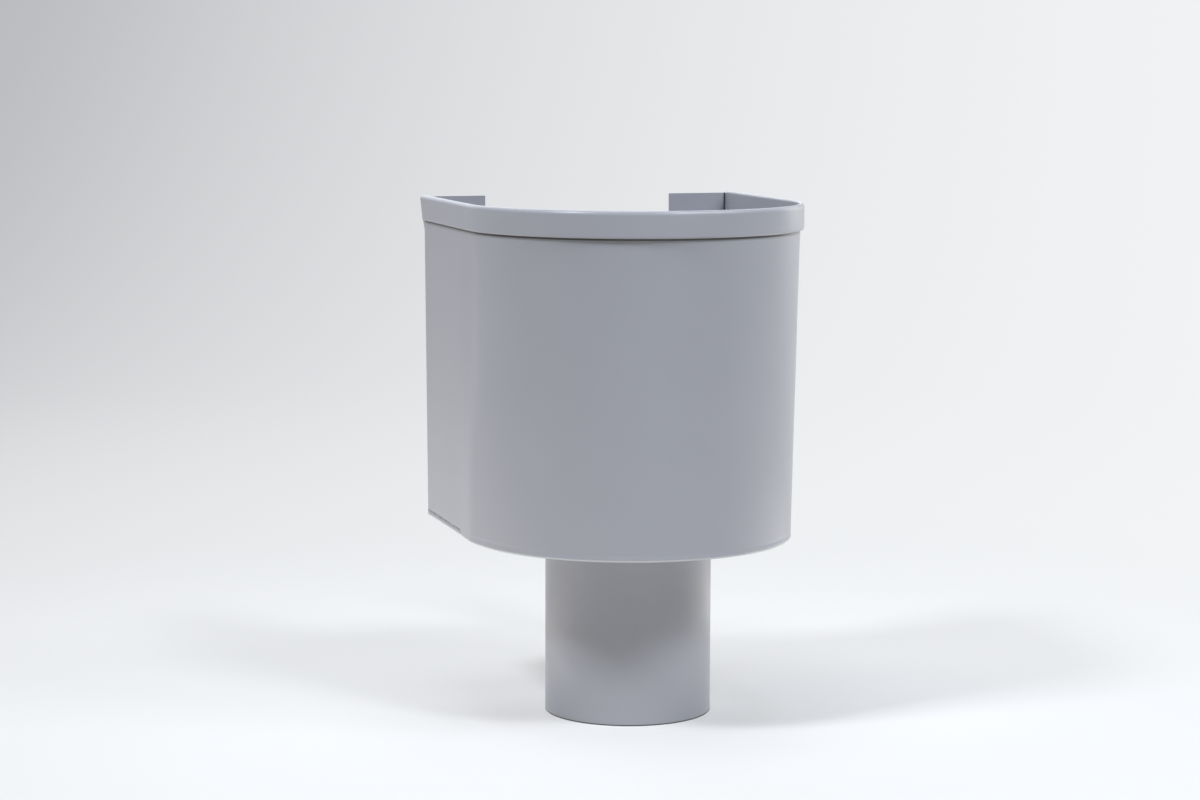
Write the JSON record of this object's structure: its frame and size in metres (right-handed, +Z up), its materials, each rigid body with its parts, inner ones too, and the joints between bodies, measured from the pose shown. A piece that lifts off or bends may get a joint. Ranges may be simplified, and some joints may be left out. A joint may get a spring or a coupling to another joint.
{
  "type": "downpipe hopper head",
  "caption": "Half-round hopper head of folded sheet metal with a hemmed rim, a notched flat back for the wall and a long round outlet spigot for a downpipe.",
  "frame": {"origin": "on the axis of the outlet spigot, at its open bottom end", "axes": "+Z up out of the mouth, +Y towards the wall that the head is fixed to, +X to the right of someone who faces that wall"},
  "size_m": [0.2036, 0.2148, 0.3075],
  "materials": {
    "coated_steel": "satin light grey coat on steel sheet"
  },
  "bodies": {
    "root": {"body_shell": "coated_steel", "back_plate": "coated_steel", "base_plate": "coated_steel", "outlet_spigot": "coated_steel"}
  },
  "joints": []
}
